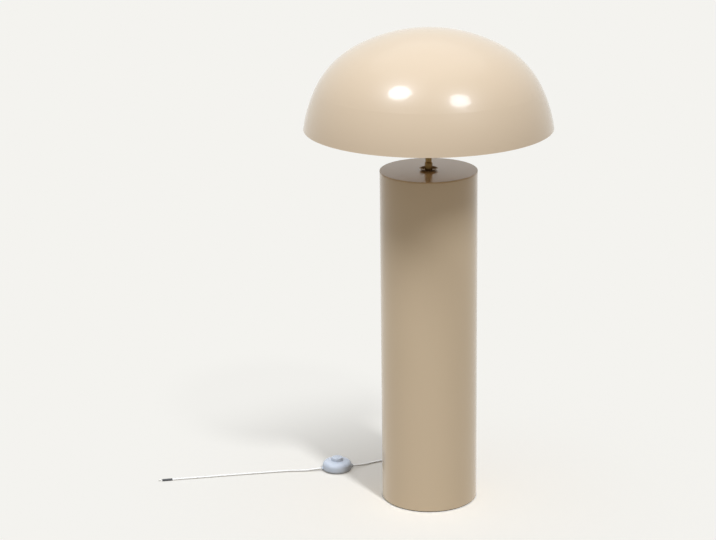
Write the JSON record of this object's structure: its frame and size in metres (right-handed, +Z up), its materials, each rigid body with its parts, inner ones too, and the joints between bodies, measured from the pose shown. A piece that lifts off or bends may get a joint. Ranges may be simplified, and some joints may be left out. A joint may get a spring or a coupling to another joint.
{
  "type": "mushroom floor lamp",
  "caption": "Floor lamp with a closed cylindrical column, a short brass neck, an opaque dome shade, and a round foot switch on a thin cord with a bare end.",
  "frame": {"origin": "on the column's axis, at the floor under the foot pad", "axes": "+Z up along the column; the pictured front faces -Y; the cord leaves at the back and lies to -X"},
  "size_m": [0.8408, 0.5068, 1.0008],
  "materials": {
    "column_paint": "glossy lacquer",
    "shade_paint": "satin lacquer",
    "spider_paint": "satin",
    "steel": "zinc plated",
    "steel_dark": "black, matte",
    "iron": "rough casting",
    "foot_rubber": "matte",
    "nylon": "moulded",
    "neck_brass": "aged, satin",
    "holder_plastic": "moulded",
    "porcelain": "unglazed",
    "contact_brass": "bright",
    "bulb_glass": "frosted",
    "bulb_metal": "bright",
    "bulb_black": "moulded",
    "bulb_stem_glass": "clear",
    "cord_pvc": "pale, slightly clear",
    "core_pvc": "moulded",
    "sleeve_rubber": "matte",
    "tinned_wire": "tinned",
    "switch_plastic": "moulded",
    "switch_inner": "moulded"
  },
  "bodies": {
    "lamp": {"column_tube": "column_paint", "column_top_plate": "column_paint", "column_brackets": "steel", "bottom_plate": "steel_dark", "bottom_screws": "steel", "ballast_disc": "iron", "ballast_bolt": "steel", "ballast_washer": "steel", "ballast_nut": "steel", "foot_pad": "foot_rubber", "cord_gland": "nylon", "gland_nut": "nylon", "seat_dish": "neck_brass", "neck_collar": "neck_brass", "neck_tube": "neck_brass", "threaded_nipple": "steel", "under_washer": "steel", "under_nut": "steel", "holder_cap": "holder_plastic", "holder_body": "holder_plastic", "holder_insert": "porcelain", "holder_shell": "contact_brass", "holder_contact": "contact_brass", "holder_terminals": "contact_brass", "shade_ring_lower": "holder_plastic", "shade_ring_upper": "holder_plastic", "shade_spider": "spider_paint", "shade_lugs": "spider_paint", "shade_screws": "steel", "shade_nuts": "steel", "shade_shell": "shade_paint", "bulb_envelope": "bulb_glass", "bulb_cap": "bulb_metal", "bulb_insulator": "bulb_black", "bulb_tip": "bulb_metal", "bulb_stem": "bulb_stem_glass", "internal_lead": "cord_pvc", "holder_cores": "core_pvc", "cord_to_switch": "cord_pvc", "cord_to_end": "cord_pvc", "cord_end_sleeve": "sleeve_rubber", "cord_end_tips": "tinned_wire", "switch_base": "switch_plastic", "switch_cover": "switch_plastic", "switch_spring": "steel", "switch_contacts": "contact_brass", "switch_neutral_link": "contact_brass", "switch_terminal_screws": "steel", "switch_clamps": "switch_inner", "switch_clamp_screws": "steel", "switch_case_screws": "steel", "switch_feet": "foot_rubber", "switch_cord_tails": "cord_pvc", "switch_cores": "core_pvc"},
    "switch_button": {"switch_button": "switch_plastic", "switch_plunger": "switch_inner"},
    "switch_rotor": {"switch_rotor": "switch_inner", "switch_bridge": "contact_brass"}
  },
  "joints": [
    {"name": "button_press", "type": "slide", "parent": "lamp", "child": "switch_button", "axis": [0, 0, -1], "range_m": [0, 0.0045], "stiffness_N_per_m": 900, "springref_m": -0.003, "deforming": ["switch_spring"]},
    {"name": "rotor_turn", "type": "hinge", "parent": "lamp", "child": "switch_rotor", "pos_m": [-0.20165, 0.13325, 0.0065], "axis": [0, 0, 1], "range_deg": [0, 46]}
  ],
  "couplings": [
    {"joint": "rotor_turn", "follows": "button_press", "rad_per_m": 174.53}
  ]
}
